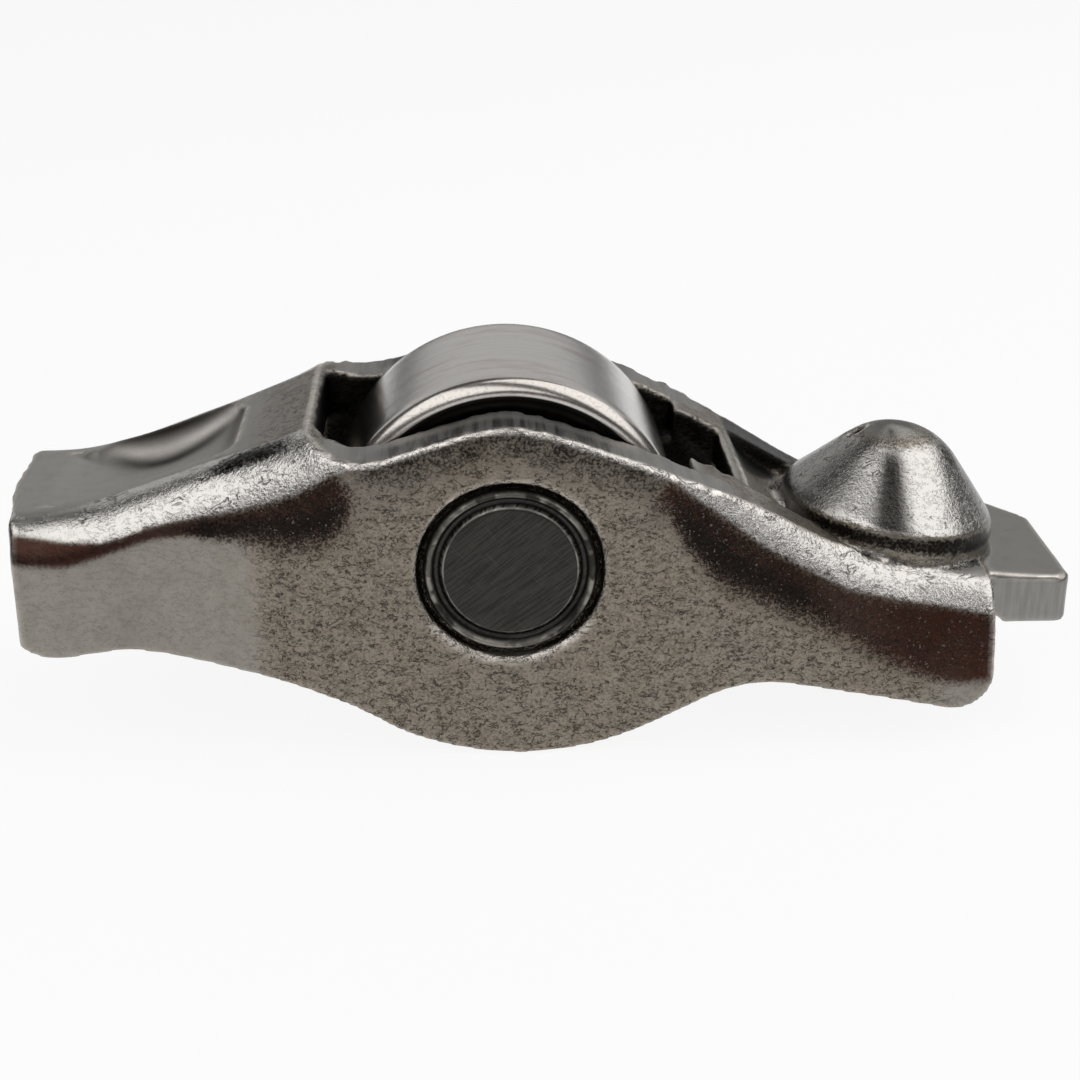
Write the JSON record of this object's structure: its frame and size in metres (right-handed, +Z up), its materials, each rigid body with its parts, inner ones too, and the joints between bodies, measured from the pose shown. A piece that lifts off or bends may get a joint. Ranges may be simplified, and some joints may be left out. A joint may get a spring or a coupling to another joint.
{
  "type": "roller finger follower rocker arm",
  "caption": "Pressed steel rocker arm with a domed ball socket at one end, a valve pad at the other and a needle-bearing roller on a staked axle between its walls.",
  "frame": {"origin": "centre of the roller on its axle, midway between the walls", "axes": "+X along the arm towards the pivot dome, +Y along the roller axle, +Z up towards the cam"},
  "size_m": [0.0614, 0.0182, 0.0215],
  "materials": {
    "arm_steel": "dark heat-treated pressing, satin, finely pitted",
    "axle_steel": "dark, finely brushed end faces",
    "roller_steel": "ground and superfinished running face",
    "needle_steel": "polished bearing steel"
  },
  "bodies": {
    "arm": {"arm_body": "arm_steel", "roller_axle": "axle_steel"},
    "roller": {"roller": "roller_steel"},
    "needles": {"needle_01": "needle_steel", "needle_02": "needle_steel", "needle_03": "needle_steel", "needle_04": "needle_steel", "needle_05": "needle_steel", "needle_06": "needle_steel", "needle_07": "needle_steel", "needle_08": "needle_steel", "needle_09": "needle_steel", "needle_10": "needle_steel", "needle_11": "needle_steel", "needle_12": "needle_steel", "needle_13": "needle_steel", "needle_14": "needle_steel", "needle_15": "needle_steel", "needle_16": "needle_steel", "needle_17": "needle_steel"}
  },
  "joints": [
    {"name": "roller_spin", "type": "hinge", "parent": "arm", "child": "roller", "pos_m": [0, 0, 0], "axis": [0, 1, 0], "continuous": true},
    {"name": "needle_orbit", "type": "hinge", "parent": "arm", "child": "needles", "pos_m": [0, 0, 0], "axis": [0, 1, 0], "continuous": true}
  ],
  "couplings": [
    {"joint": "needle_orbit", "follows": "roller_spin", "ratio": 0.59202}
  ]
}
